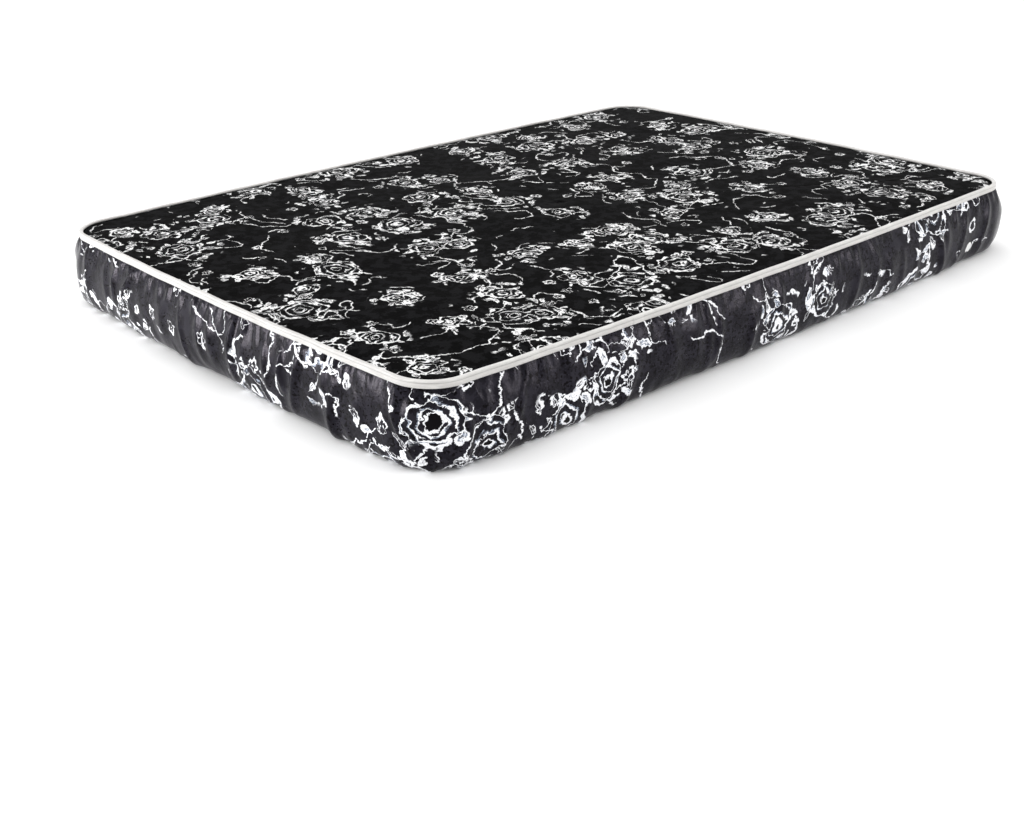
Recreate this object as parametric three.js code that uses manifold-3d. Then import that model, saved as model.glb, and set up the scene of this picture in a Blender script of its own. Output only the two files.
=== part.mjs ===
// A foam mattress in a sewn cover: a block of foam wrapped in wadding, a printed top panel,
// a bulging border, a plain underside, a white binding tape over the top seam, and a zip
// across one short end. Millimetres, +Z up, X along the length, origin at the centre of
// the underside. The zipped end is at +X.

import * as THREE from "three";
import { mergeVertices } from "three/addons/utils/BufferGeometryUtils.js";
import Module from "manifold-3d";

// Overall size
const LENGTH = 2000;
const WIDTH = 1400;
const THICKNESS = 180; // floor to the top of the binding tape

// Outline, at the line of the binding tape
const CORNER_RADIUS = 86;
const BOW = 16; // how far the middle of a side stands out from its corners

// Side profile
const BELLY = 18; // how far the border bulges past the tape's line
const BELLY_HEIGHT = 85; // height of its widest line
const UNDER = 40; // how far the border turns in below, to its seam with the underside
const UNDER_SHAPE = 2.6; // power of the curve there; 2 would be an ellipse

// Layers
const CLEARANCE = 0.5; // between pieces that touch
const FABRIC = 1.6;
const WADDING = 10;

// Binding tape: a web down the outside of the seam and a lip over the panel's edge
const TAPE_HEIGHT = 14.5;
const TAPE_OUT = 3;
const TAPE_WEB = 6;
const TAPE_LIP = 5;
const PANEL_DROP = 6; // the top panel lies this far below the top of the tape
const LAP_LENGTH = 26; // where the tape's tail laps over its start
const LAP_THICKNESS = 1;
const LAP_FROM_CORNER = 430;

// Zip
const SLOT_HEIGHT = 16; // between the two hems of the end
const CHAIN_END_MARGIN = 34; // from the end of the slot to the end of the chain
const ZIP_TAPE_HEIGHT = 15;
const ZIP_TAPE_THICKNESS = 0.8;
const COIL_HEIGHT = 2.8;
const COIL_THICKNESS = 2.4;
const STOP_LENGTH = 4;
const SLIDER_LENGTH = 12;
const SLIDER_WALL = 1.4;
const EAR_LENGTH = 4;
const EAR_WALL = 1.2;
const PIN_RADIUS = 0.7;
const KNUCKLE_BORE = 0.95;
const KNUCKLE_RADIUS = 1.5;
const KNUCKLE_RECESS = 0.9; // from the widest line in to the knuckle
const PULLER_LENGTH = 28;
const PULLER_WIDTH = 6;
const PULLER_THICKNESS = 1.3;

// Care label
const LABEL_WIDTH = 60;
const LABEL_HEIGHT = 42;
const LABEL_THICKNESS = 0.6;
const LABEL_FROM_SEAM = 110;

// Fineness of the facets
const SIDE_STEPS = 8;
const CORNER_STEPS = 5;
const UPPER_STEPS = 4;
const LOWER_STEPS = 5;
const ROUND_STEPS = 12;

// What follows from them
const halfX = LENGTH / 2 - BOW - BELLY;
const halfY = WIDTH / 2 - BOW - BELLY;
const tapeBottom = THICKNESS - TAPE_HEIGHT;
const panelTop = THICKNESS - PANEL_DROP;
const panelBottom = panelTop - FABRIC;
const wallTop = panelBottom - CLEARANCE;
const wallOffset = TAPE_OUT - TAPE_WEB - CLEARANCE; // the border's face behind the tape
const topWaddingBottom = wallTop - WADDING;
const coreTop = topWaddingBottom - CLEARANCE;
const waddingInset = FABRIC + CLEARANCE;
const coreInset = waddingInset + WADDING + CLEARANCE;
const underOffset = BELLY - UNDER; // where the border meets the underside

const slotTop = BELLY_HEIGHT + SLOT_HEIGHT / 2;
const slotBottom = BELLY_HEIGHT - SLOT_HEIGHT / 2;
const widestX = LENGTH / 2;
const pinX = widestX - KNUCKLE_RECESS - KNUCKLE_RADIUS;
const sliderFace = pinX - KNUCKLE_RADIUS - CLEARANCE;
const coilFace = sliderFace - SLIDER_WALL - CLEARANCE;
const zipTapeFace = coilFace - COIL_THICKNESS - CLEARANCE;
const zipTapeBack = zipTapeFace - ZIP_TAPE_THICKNESS;
const hemOffset = BELLY - (widestX - zipTapeFace) + CLEARANCE;
const slotHalf = halfY - CORNER_RADIUS - CLEARANCE;
const chainHalf = slotHalf - CHAIN_END_MARGIN;
const sliderY = chainHalf - SLIDER_LENGTH / 2;

const wasm = await Module();
wasm.setup();

// manifold-3d solids and back again, for cuts and joins
function toSolid(geometry) {
  const bare = geometry.clone();
  bare.deleteAttribute("normal");
  bare.deleteAttribute("uv");
  const merged = mergeVertices(bare, 1e-4);
  const vertProperties = new Float32Array(merged.attributes.position.array);
  const triVerts = new Uint32Array(merged.index.array);
  return new wasm.Manifold(new wasm.Mesh({ numProp: 3, vertProperties, triVerts }));
}

function toGeometry(solid) {
  const { vertProperties, triVerts } = solid.getMesh();
  return facets(Array.from(vertProperties), Array.from(triVerts));
}

function facets(positions, indices) {
  const geometry = new THREE.BufferGeometry();
  geometry.setAttribute("position", new THREE.Float32BufferAttribute(positions, 3));
  geometry.setIndex(indices);
  geometry.computeVertexNormals();
  return geometry;
}

// Outline: stations anticlockwise round the tape's line, each with its outward normal.
// A station's draw is the extra belly that keeps the zipped end straight at its widest line.
function station(x, y, nx, ny) {
  const bowedX = x + Math.sign(x) * BOW * (1 - (y / halfY) ** 2) * Math.abs(x / halfX) ** 6;
  const bowedY = y + Math.sign(y) * BOW * (1 - (x / halfX) ** 2) * Math.abs(y / halfY) ** 6;
  const toWidest = widestX - BELLY - bowedX;
  return { x: bowedX, y: bowedY, nx, ny, draw: nx > 0 ? toWidest * nx ** 4 : 0 };
}

function outline() {
  const stations = [];
  for (let side = 0; side < 4; side++) {
    const turn = (side * Math.PI) / 2;
    const [nx, ny] = [Math.round(Math.cos(turn)), Math.round(Math.sin(turn))];
    const reach = nx ? halfX : halfY;
    const along = (nx ? halfY : halfX) - CORNER_RADIUS;
    for (let i = 0; i <= SIDE_STEPS; i++) {
      const t = along * ((2 * i) / SIDE_STEPS - 1);
      stations.push(station(nx * reach - ny * t, ny * reach + nx * t, nx, ny));
    }
    for (let i = 1; i < CORNER_STEPS; i++) {
      const angle = turn + (i / CORNER_STEPS) * (Math.PI / 2);
      const [cx, cy] = [Math.cos(angle), Math.sin(angle)];
      const centreX = (nx - ny) * (halfX - CORNER_RADIUS);
      const centreY = (nx + ny) * (halfY - CORNER_RADIUS);
      stations.push(station(centreX + CORNER_RADIUS * cx, centreY + CORNER_RADIUS * cy, cx, cy));
    }
  }
  return stations;
}

const ring = outline();
const stationsPerSide = SIDE_STEPS + CORNER_STEPS;

// Length along the outline from the first station to the given one
function lengthTo(index) {
  let length = 0;
  for (let i = 0; i < index; i++) {
    const [a, b] = [ring[i], ring[(i + 1) % ring.length]];
    length += Math.hypot(b.x - a.x, b.y - a.y);
  }
  return length;
}

const sideStart = (side) => lengthTo(side * stationsPerSide);
const endSeam = lengthTo(SIDE_STEPS); // the second vertical seam beside the zipped end

// The stretch of the outline between two lengths along it
function stretch(from, to) {
  const stations = [];
  let length = 0;
  for (let i = 0; i < ring.length; i++) {
    const [a, b] = [ring[i], ring[(i + 1) % ring.length]];
    const step = Math.hypot(b.x - a.x, b.y - a.y);
    if (from >= length && from < length + step) stations.push(mix(a, b, (from - length) / step));
    else if (length > from && length < to) stations.push(a);
    if (to > length && to <= length + step) stations.push(mix(a, b, (to - length) / step));
    length += step;
  }
  return stations;
}

// A section point is { o, z, w }: o outward from the tape's line, z the height, and w how
// much of the station's draw it takes, from none at the tape to all at the widest line.
function place(point, s) {
  const out = point.o + point.w * s.draw;
  return [s.x + s.nx * out, s.y + s.ny * out, point.z];
}

// The side of the border from the tape down to its turned-in edge, moved in by inset. Faces
// of every inset have their points on the same levels, so they stay parallel.
function sideFace(inset) {
  const points = [];
  for (let i = 0; i <= UPPER_STEPS; i++) {
    const w = Math.sin(((Math.PI / 2) * i) / UPPER_STEPS);
    const z = tapeBottom + ((BELLY_HEIGHT - tapeBottom) * i) / UPPER_STEPS;
    points.push({ o: wallOffset + (BELLY - wallOffset) * w - inset, z, w });
  }
  for (let i = 1; i <= LOWER_STEPS; i++) {
    const t = ((Math.PI / 2) * i) / LOWER_STEPS;
    const across = Math.max(0, Math.cos(t)) ** (2 / UNDER_SHAPE);
    const down = Math.sin(t) ** (2 / UNDER_SHAPE);
    const o = underOffset + (UNDER - inset) * across;
    points.push({ o, z: BELLY_HEIGHT - (BELLY_HEIGHT - inset) * down, w: 1 });
  }
  return points;
}

function mix(a, b, t) {
  const mixed = {};
  for (const key in a) mixed[key] = a[key] + (b[key] - a[key]) * t;
  return mixed;
}

// The part of a face between two heights
function clip(face, top, bottom = -Infinity) {
  const kept = [];
  face.forEach((point, i) => {
    const before = face[i - 1];
    for (const cut of [top, bottom]) {
      if (before && before.z > cut && point.z < cut) {
        kept.push(mix(before, point, (before.z - cut) / (before.z - point.z)));
      }
    }
    if (point.z <= top && point.z >= bottom) kept.push(point);
  });
  return kept;
}

// Two triangles for the patch between heights j and k of two neighbouring stations. Both are
// split from the lower corner here to the upper corner there, so that faces which follow each
// other a clearance apart never cross.
function patch(here, next, j, k, rising) {
  if (rising) return [here + j, next + j, next + k, here + j, next + k, here + k];
  return [here + j, next + j, here + k, next + j, next + k, here + k];
}

// A closed section carried along stations: all the way round, or with its two ends capped
function sweep(section, stations, closed) {
  const flat = section.map((p) => new THREE.Vector2(p.o, p.z));
  const points = THREE.ShapeUtils.area(flat) > 0 ? section : [...section].reverse();
  const count = points.length;
  const positions = stations.flatMap((s) => points.flatMap((p) => place(p, s)));
  const indices = [];
  const spans = closed ? stations.length : stations.length - 1;
  for (let i = 0; i < spans; i++) {
    const [here, next] = [i * count, ((i + 1) % stations.length) * count];
    for (let j = 0; j < count; j++) {
      const k = (j + 1) % count;
      indices.push(...patch(here, next, j, k, points[k].z >= points[j].z));
    }
  }
  if (!closed) {
    const last = (stations.length - 1) * count;
    const contour = points.map((p) => new THREE.Vector2(p.o, p.z));
    for (const [a, b, c] of THREE.ShapeUtils.triangulateShape(contour, [])) {
      indices.push(a, b, c, last + c, last + b, last + a);
    }
  }
  return facets(positions, indices);
}

// A flat sheet that fills the outline at one offset
function plate(offset, w, bottom, thickness) {
  const corners = ring.map((s) => place({ o: offset, z: 0, w }, s));
  const shape = new THREE.Shape(corners.map(([x, y]) => new THREE.Vector2(x, y)));
  const geometry = new THREE.ExtrudeGeometry(shape, { depth: thickness, bevelEnabled: false });
  return geometry.translate(0, 0, bottom);
}

// A solid that fills the outline, with the given face down its side
function filled(face) {
  const points = [...face].reverse();
  const count = ring.length;
  const positions = points.flatMap((p) => ring.flatMap((s) => place(p, s)));
  const indices = [];
  for (let row = 0; row < points.length - 1; row++) {
    const start = row * count;
    for (let i = 0; i < count; i++) {
      indices.push(...patch(start + i, start + ((i + 1) % count), 0, count, true));
    }
  }
  const lid = (points.length - 1) * count;
  const rim = ring.map((s) => new THREE.Vector2(s.x, s.y));
  for (const [a, b, c] of THREE.ShapeUtils.triangulateShape(rim, [])) {
    indices.push(c, b, a, lid + a, lid + b, lid + c);
  }
  return facets(positions, indices);
}

// Materials
function finish(color, roughness, metalness = 0) {
  return new THREE.MeshStandardMaterial({ color, roughness, metalness });
}

const printedSatin = finish(0x26262c, 0.38);
const plainUnderside = finish(0x17171a, 0.7);
const whiteTape = finish(0xdcd8d3, 0.4);
const foam = finish(0xe9dfbf, 0.9);
const fibre = finish(0xf2f2ef, 0.95);
const zipFabric = finish(0x1b1b1f, 0.7);
const zipNylon = finish(0x141417, 0.35);
const zipMetal = finish(0x2c2c30, 0.35, 0.6);
const labelCloth = finish(0xefede8, 0.6);

const mattress = new THREE.Group();

function add(name, geometry, material) {
  const mesh = new THREE.Mesh(geometry, material);
  mesh.name = name;
  mattress.add(mesh);
  return mesh;
}

// Filling
function addFilling() {
  add("foam_core", filled(clip(sideFace(coreInset), coreTop)), foam);
  add("wadding_top", plate(wallOffset - waddingInset, 0, topWaddingBottom, WADDING), fibre);
  add("wadding_bottom", plate(underOffset - CLEARANCE, 1, waddingInset, WADDING), fibre);
  add("wadding_side", sideWadding(), fibre);
}

// The side wadding has a groove for the zip, which lies behind the slot
function sideWadding() {
  const section = [
    ...clip(sideFace(waddingInset), coreTop),
    ...clip(sideFace(waddingInset + WADDING), coreTop).reverse(),
  ];
  const grooveHeight = 2 * ZIP_TAPE_HEIGHT + 4 * CLEARANCE;
  const grooveFloor = zipTapeBack - CLEARANCE;
  const groove = new THREE.BoxGeometry(WADDING, 2 * (slotHalf + CLEARANCE), grooveHeight);
  groove.translate(grooveFloor + WADDING / 2, 0, BELLY_HEIGHT);
  return toGeometry(toSolid(sweep(section, ring, true)).subtract(toSolid(groove)));
}

// Cover
function addCover() {
  add("top_panel", plate(wallOffset, 0, panelBottom, FABRIC), printedSatin);
  add("bottom_panel", plate(underOffset - CLEARANCE, 1, 0, FABRIC), plainUnderside);

  const edge = (inset) => ({ o: wallOffset - inset, z: wallTop, w: 0 });
  const wall = [edge(0), ...sideFace(0), ...sideFace(FABRIC).reverse(), edge(FABRIC)];
  const around = lengthTo(ring.length);
  add("border_strip", sweep(wall, stretch(endSeam, around), false), printedSatin);

  const end = stretch(CLEARANCE, endSeam - CLEARANCE);
  const hem = (z) => ({ o: hemOffset, z, w: 1 });
  const upper = [
    edge(0),
    ...clip(sideFace(0), tapeBottom, slotTop),
    hem(slotTop),
    hem(slotTop + FABRIC),
    ...clip(sideFace(FABRIC), tapeBottom, slotTop + FABRIC).reverse(),
    edge(FABRIC),
  ];
  const lower = [
    hem(slotBottom),
    ...clip(sideFace(0), slotBottom),
    ...clip(sideFace(FABRIC), slotBottom - FABRIC).reverse(),
    hem(slotBottom - FABRIC),
  ];
  add("border_end_upper", sweep(upper, end, false), printedSatin);
  add("border_end_lower", sweep(lower, end, false), printedSatin);
}

// The binding tape runs all the way round, and its tail laps over its start on the -Y side
function addBindingTape() {
  const section = (grow) => {
    const out = TAPE_OUT + grow;
    const back = TAPE_OUT - TAPE_WEB;
    const lip = back - TAPE_LIP;
    const corner = TAPE_WEB / 3;
    return [
      { o: back, z: tapeBottom, w: 0 },
      { o: out - corner / 2, z: tapeBottom, w: 0 },
      { o: out, z: tapeBottom + corner, w: 0 },
      { o: out, z: THICKNESS - 2 * corner, w: 0 },
      { o: out - corner, z: THICKNESS - corner / 3, w: 0 },
      { o: out - 2 * corner, z: THICKNESS, w: 0 },
      { o: lip + corner, z: THICKNESS - corner / 3, w: 0 },
      { o: lip, z: THICKNESS - corner, w: 0 },
      { o: lip, z: panelTop + CLEARANCE, w: 0 },
      { o: back, z: panelTop + CLEARANCE, w: 0 },
    ];
  };
  const lapStart = sideStart(3) + LAP_FROM_CORNER;
  const lap = sweep(section(LAP_THICKNESS), stretch(lapStart, lapStart + LAP_LENGTH), false);
  const tape = toSolid(sweep(section(0), ring, true)).add(toSolid(lap));
  add("edge_tape", toGeometry(tape), whiteTape);
}

function addCareLabel() {
  const outer = -(CLEARANCE + LABEL_THICKNESS);
  const [top, bottom] = [tapeBottom - CLEARANCE, tapeBottom - LABEL_HEIGHT];
  const section = [
    ...clip(sideFace(outer), top, bottom),
    ...clip(sideFace(outer + LABEL_THICKNESS), top, bottom).reverse(),
  ];
  const stations = stretch(LABEL_FROM_SEAM, LABEL_FROM_SEAM + LABEL_WIDTH);
  add("care_label", sweep(section, stations, false), labelCloth);
}

// Zip: two woven tapes with a nylon coil on each, stops, a slider and its puller
function addZip() {
  for (const [name, side] of [["upper", 1], ["lower", -1]]) {
    const tapeShape = new THREE.BoxGeometry(ZIP_TAPE_THICKNESS, 2 * slotHalf, ZIP_TAPE_HEIGHT);
    const tape = add(`zip_tape_${name}`, tapeShape, zipFabric);
    const tapeZ = BELLY_HEIGHT + side * (ZIP_TAPE_HEIGHT / 2 + CLEARANCE / 2);
    tape.position.set(zipTapeFace - ZIP_TAPE_THICKNESS / 2, 0, tapeZ);

    const coilShape = new THREE.CylinderGeometry(0.5, 0.5, 2 * chainHalf, ROUND_STEPS);
    const coil = add(`zip_coil_${name}`, coilShape, zipNylon);
    coil.scale.set(COIL_THICKNESS, 1, COIL_HEIGHT);
    const coilZ = BELLY_HEIGHT + side * (COIL_HEIGHT / 2 + CLEARANCE / 2);
    coil.position.set(coilFace - COIL_THICKNESS / 2, 0, coilZ);
  }
  for (const [name, side] of [["zip_stop_closed", 1], ["zip_stop_open", -1]]) {
    const height = 2 * COIL_HEIGHT + CLEARANCE;
    const stop = add(name, new THREE.BoxGeometry(COIL_THICKNESS, STOP_LENGTH, height), zipMetal);
    const stopY = side * (chainHalf + STOP_LENGTH / 2 + CLEARANCE);
    stop.position.set(coilFace - COIL_THICKNESS / 2, stopY, BELLY_HEIGHT);
  }
  add("zip_slider", sliderBody(), zipMetal);
  add("zip_puller", pullerTab(), zipMetal);
}

// A channel over the chain, with two ears that hold the puller's pin
function sliderBody() {
  const inside = COIL_HEIGHT + CLEARANCE / 2 + CLEARANCE;
  const outside = inside + SLIDER_WALL;
  const foot = zipTapeFace + CLEARANCE;
  const section = [
    [sliderFace, -outside], [sliderFace, outside], [foot, outside], [foot, inside],
    [sliderFace - SLIDER_WALL, inside], [sliderFace - SLIDER_WALL, -inside],
    [foot, -inside], [foot, -outside],
  ];
  const shape = new THREE.Shape(section.map(([x, z]) => new THREE.Vector2(x, -z)));
  const channel = new THREE.ExtrudeGeometry(shape, { depth: SLIDER_LENGTH, bevelEnabled: false });
  channel.translate(0, 0, -SLIDER_LENGTH / 2).rotateX(-Math.PI / 2);
  channel.translate(0, sliderY, BELLY_HEIGHT);
  let body = toSolid(channel);
  const earReach = pinX + KNUCKLE_RADIUS - sliderFace + SLIDER_WALL / 2;
  for (const side of [1, -1]) {
    const ear = new THREE.BoxGeometry(earReach, EAR_LENGTH, EAR_WALL);
    const earZ = BELLY_HEIGHT + side * (PULLER_WIDTH / 2 + CLEARANCE + EAR_WALL / 2);
    ear.translate(sliderFace - SLIDER_WALL / 2 + earReach / 2, sliderY, earZ);
    body = body.add(toSolid(ear));
  }
  const pinLength = PULLER_WIDTH + 2 * CLEARANCE + EAR_WALL;
  const pin = new THREE.CylinderGeometry(PIN_RADIUS, PIN_RADIUS, pinLength, ROUND_STEPS);
  pin.rotateX(Math.PI / 2).translate(pinX, sliderY, BELLY_HEIGHT);
  return toGeometry(body.add(toSolid(pin)));
}

// A flat tab that hangs on the pin by a rolled knuckle and lies back along the chain
function pullerTab() {
  const knuckle = (radius, length) => {
    const round = new THREE.CylinderGeometry(radius, radius, length, ROUND_STEPS);
    return toSolid(round.rotateX(Math.PI / 2).translate(pinX, sliderY, BELLY_HEIGHT));
  };
  const half = PULLER_WIDTH / 2;
  const tab = new THREE.Shape();
  tab.moveTo(-half, 0);
  tab.lineTo(-half, half - PULLER_LENGTH);
  tab.absarc(0, half - PULLER_LENGTH, half, Math.PI, 2 * Math.PI);
  tab.lineTo(half, 0);
  const eye = new THREE.Path().absarc(0, half - PULLER_LENGTH, half / 2, 0, 2 * Math.PI, true);
  tab.holes.push(eye);
  const settings = { depth: PULLER_THICKNESS, bevelEnabled: false, curveSegments: ROUND_STEPS / 2 };
  const blade = new THREE.ExtrudeGeometry(tab, settings);
  blade.rotateY(Math.PI / 2).translate(pinX - PULLER_THICKNESS / 2, sliderY, BELLY_HEIGHT);
  const joined = toSolid(blade).add(knuckle(KNUCKLE_RADIUS, PULLER_WIDTH));
  return toGeometry(joined.subtract(knuckle(KNUCKLE_BORE, PULLER_WIDTH + 2)));
}

addFilling();
addCover();
addBindingTape();
addCareLabel();
addZip();

export default mattress;
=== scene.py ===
import math

import bpy
import numpy as np
from mathutils import Matrix, Vector


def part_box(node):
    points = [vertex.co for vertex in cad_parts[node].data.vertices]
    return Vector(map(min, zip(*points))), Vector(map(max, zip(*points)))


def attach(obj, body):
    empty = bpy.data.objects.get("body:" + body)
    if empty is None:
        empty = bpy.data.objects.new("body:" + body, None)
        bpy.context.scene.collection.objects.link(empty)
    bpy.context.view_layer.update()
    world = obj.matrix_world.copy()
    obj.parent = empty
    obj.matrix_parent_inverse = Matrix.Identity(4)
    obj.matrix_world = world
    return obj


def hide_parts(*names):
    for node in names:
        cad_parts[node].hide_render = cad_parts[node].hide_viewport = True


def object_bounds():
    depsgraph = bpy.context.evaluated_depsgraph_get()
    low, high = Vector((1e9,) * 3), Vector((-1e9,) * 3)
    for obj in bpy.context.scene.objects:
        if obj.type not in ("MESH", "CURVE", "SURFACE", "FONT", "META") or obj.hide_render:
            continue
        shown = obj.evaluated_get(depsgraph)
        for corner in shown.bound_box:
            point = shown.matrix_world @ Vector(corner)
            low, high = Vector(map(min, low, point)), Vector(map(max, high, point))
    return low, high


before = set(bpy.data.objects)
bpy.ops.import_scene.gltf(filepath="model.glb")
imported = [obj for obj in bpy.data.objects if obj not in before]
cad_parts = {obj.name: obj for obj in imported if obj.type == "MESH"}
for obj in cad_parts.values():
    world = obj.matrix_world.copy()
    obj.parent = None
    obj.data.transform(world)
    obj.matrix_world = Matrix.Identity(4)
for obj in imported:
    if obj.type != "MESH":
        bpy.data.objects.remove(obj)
cad_box = [list(corner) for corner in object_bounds()]


# ---- Camera, light and floor ----
# The mattress is seen from above the corner between its plain short end and a long side,
# on a white studio floor, under broad soft lights that are strongest on the short end.

EYE = Vector((-2.3197, -2.3679, 1.1228))
HEADING = math.radians(42.365)
TILT = math.radians(24.395)
ROLL = math.radians(-0.696)

lens = bpy.data.cameras.new("studio_camera")
lens.lens = 48.59
lens.sensor_width = 36
camera = bpy.data.objects.new("studio_camera", lens)
bpy.context.scene.collection.objects.link(camera)
ahead = Vector((math.sin(HEADING) * math.cos(TILT), math.cos(HEADING) * math.cos(TILT), -math.sin(TILT)))
level = Vector((math.cos(HEADING), -math.sin(HEADING), 0))
upright = level.cross(ahead)
sideways = math.cos(ROLL) * level + math.sin(ROLL) * upright
turned = Matrix((sideways, sideways.cross(ahead), -ahead)).transposed()
camera.matrix_world = Matrix.Translation(EYE) @ turned.to_4x4()
bpy.context.scene.camera = camera


def softbox(name, place, target, size, power):
    light = bpy.data.lights.new(name, "AREA")
    light.shape = "RECTANGLE"
    light.size = size[0]
    light.size_y = size[1]
    light.energy = power
    lamp = bpy.data.objects.new(name, light)
    bpy.context.scene.collection.objects.link(lamp)
    lamp.location = place
    lamp.rotation_euler = (Vector(target) - Vector(place)).to_track_quat("-Z", "Y").to_euler()


softbox("left_softbox", (-4.3, 2.0, 0.75), (-1.0, 0.0, 0.10), (1.8, 0.6), 150)
softbox("front_softbox", (2.6, -4.2, 0.75), (0.0, -0.7, 0.10), (1.2, 0.4), 45)
softbox("overhead", (0.5, 1.0, 20.0), (0.5, 1.0, 0), (80.0, 80.0), 23500)

sky = bpy.data.worlds.new("studio")
sky.use_nodes = True
sky_nodes = sky.node_tree.nodes
direction = sky_nodes.new("ShaderNodeTexCoord").outputs["Generated"]
split = sky_nodes.new("ShaderNodeSeparateXYZ")
fade = sky_nodes.new("ShaderNodeMapRange")
fade.interpolation_type = "SMOOTHSTEP"
fade.inputs["From Min"].default_value = 0.24
fade.inputs["From Max"].default_value = 0.36
fade.inputs["To Min"].default_value = 1.0
fade.inputs["To Max"].default_value = 0.30
sky.node_tree.links.new(direction, split.inputs[0])
sky.node_tree.links.new(split.outputs["Z"], fade.inputs["Value"])
sky.node_tree.links.new(fade.outputs[0], sky_nodes["Background"].inputs["Strength"])
sky_nodes["Background"].inputs["Color"].default_value = (1, 1, 1, 1)
bpy.context.scene.world = sky
bpy.context.scene.view_settings.view_transform = "Standard"

bpy.ops.mesh.primitive_plane_add(size=60, location=(0, 0, 0))
floor = bpy.context.object
floor.name = "studio_floor"
paper = bpy.data.materials.new("white_floor")
paper.use_nodes = True
paper.node_tree.nodes["Principled BSDF"].inputs["Base Color"].default_value = (0.93, 0.93, 0.93, 1)
paper.node_tree.nodes["Principled BSDF"].inputs["Roughness"].default_value = 0.9
floor.data.materials.append(paper)


# ---- Foam core ----
# One block of pale open-cell foam, cut to the outline of the mattress with its edges eased.
# The wadding and then the cover are drawn over it.

tape_low, tape_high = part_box("edge_tape")
border_low, border_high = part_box("border_strip")
core_low, core_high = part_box("foam_core")

TAPE_OUT = 0.003  # the binding tape's face stands this far outside its line
BOW = 0.016  # the middle of each side stands out from its corners
CORNER = 0.086
BELLY_HEIGHT = 0.085
UNDER = 0.040  # how far the border turns in below
UNDER_SHAPE = 2.6
WALL_LINE = -0.0035  # the border's face behind the tape

half_x = -tape_low.x - TAPE_OUT - BOW
half_y = -tape_low.y - TAPE_OUT - BOW
belly = -border_low.x - BOW - half_x
tape_bottom = tape_low.z
widest_x = cad_box[1][0]


def tape_line():
    """The tape's line, anticlockwise from the first corner of the zipped end: place, outward
    normal and the zipped end's extra belly at each point, and the length along the line."""
    places = []
    normals = []
    for side in range(4):
        turn = side * math.pi / 2
        n = np.array((round(math.cos(turn)), round(math.sin(turn))), float)
        reach, along = (half_x, half_y - CORNER) if n[0] else (half_y, half_x - CORNER)
        for t in np.linspace(-along, along, 300):
            places.append(n * reach + np.array((-n[1], n[0])) * t)
            normals.append(n)
        centre = np.array((n[0] - n[1], n[0] + n[1])) * (half_x - CORNER, half_y - CORNER)
        for angle in turn + np.linspace(0, math.pi / 2, 42)[1:-1]:
            n = np.array((math.cos(angle), math.sin(angle)))
            places.append(centre + CORNER * n)
            normals.append(n)
    x, y = np.array(places).T
    n = np.array(normals)
    bowed_x = x + np.sign(x) * BOW * (1 - (y / half_y) ** 2) * np.abs(x / half_x) ** 6
    bowed_y = y + np.sign(y) * BOW * (1 - (x / half_x) ** 2) * np.abs(y / half_y) ** 6
    draw = np.where(n[:, 0] > 0, (widest_x - belly - bowed_x) * n[:, 0] ** 4, 0)
    rows = np.column_stack([bowed_x, bowed_y, n, draw])
    rows = np.vstack([rows, rows[:1]])
    length = np.concatenate([[0], np.cumsum(np.hypot(*np.diff(rows[:, :2], axis=0).T))])
    return rows, length


line_rows, line_length = tape_line()
ROUND = line_length[-1]  # the whole way round
END_SEAM = line_length[299]  # the zipped end runs from 0 to here


def stations(s):
    """Rows of the tape's line at lengths s along it."""
    rows = np.column_stack([np.interp(s % ROUND, line_length, column) for column in line_rows.T])
    rows[:, 2:4] /= np.linalg.norm(rows[:, 2:4], axis=1)[:, None]
    return rows


def even(start, end, step):
    return np.linspace(start, end, max(2, round((end - start) / step) + 1))


def profile(rows, step):
    """A section of reach, height and share of draw, cut into even steps, and its length."""
    rows = np.array(rows, float)
    length = np.concatenate([[0], np.cumsum(np.hypot(*np.diff(rows[:, :2], axis=0).T))])
    v = even(0, length[-1], step)
    return np.column_stack([np.interp(v, length, column) for column in rows.T]), v


def side_rows(inset, top, bottom):
    """The side's section from the tape down and under, between two heights."""
    t = np.linspace(0, 1, 60)
    swell = np.sin(t * math.pi / 2)
    upper = [WALL_LINE + (belly - WALL_LINE) * swell - inset,
             tape_bottom + (BELLY_HEIGHT - tape_bottom) * t, swell]
    turn = t[1:] * math.pi / 2
    across = np.cos(turn).clip(0) ** (2 / UNDER_SHAPE)
    down = np.sin(turn) ** (2 / UNDER_SHAPE)
    lower = [belly - UNDER + (UNDER - inset) * across,
             BELLY_HEIGHT - (BELLY_HEIGHT - inset) * down, np.ones(len(turn))]
    rows = np.hstack([upper, lower]).T
    heights = np.linspace(top, bottom, 120)
    falling = rows[::-1]
    return np.column_stack([np.interp(heights, falling[:, 1], column) for column in falling.T])


def carried(rows, section):
    """The surface that a section makes along stations, and its outward normals, as grids."""
    reach = section[None, :, 0] + section[None, :, 2] * rows[:, None, 4]
    x = rows[:, None, 0] + rows[:, None, 2] * reach
    y = rows[:, None, 1] + rows[:, None, 3] * reach
    places = np.stack([x, y, np.broadcast_to(section[None, :, 1], x.shape)], 2)
    return places, face_normals(places)


def face_normals(places):
    along = np.gradient(places, axis=0)
    down = np.gradient(places, axis=1)
    normals = np.cross(down, along)
    return normals / (np.linalg.norm(normals, axis=2)[:, :, None] + 1e-12)


def quads(rows, columns, start=0, closed=False):
    """Faces of a grid of points numbered row by row."""
    i = np.arange(rows if closed else rows - 1)[:, None]
    j = np.arange(columns - 1)[None, :]
    here = start + i * columns + j
    there = start + ((i + 1) % rows) * columns + j
    return np.stack([here, here + 1, there + 1, there], 2).reshape(-1, 4)


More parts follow.
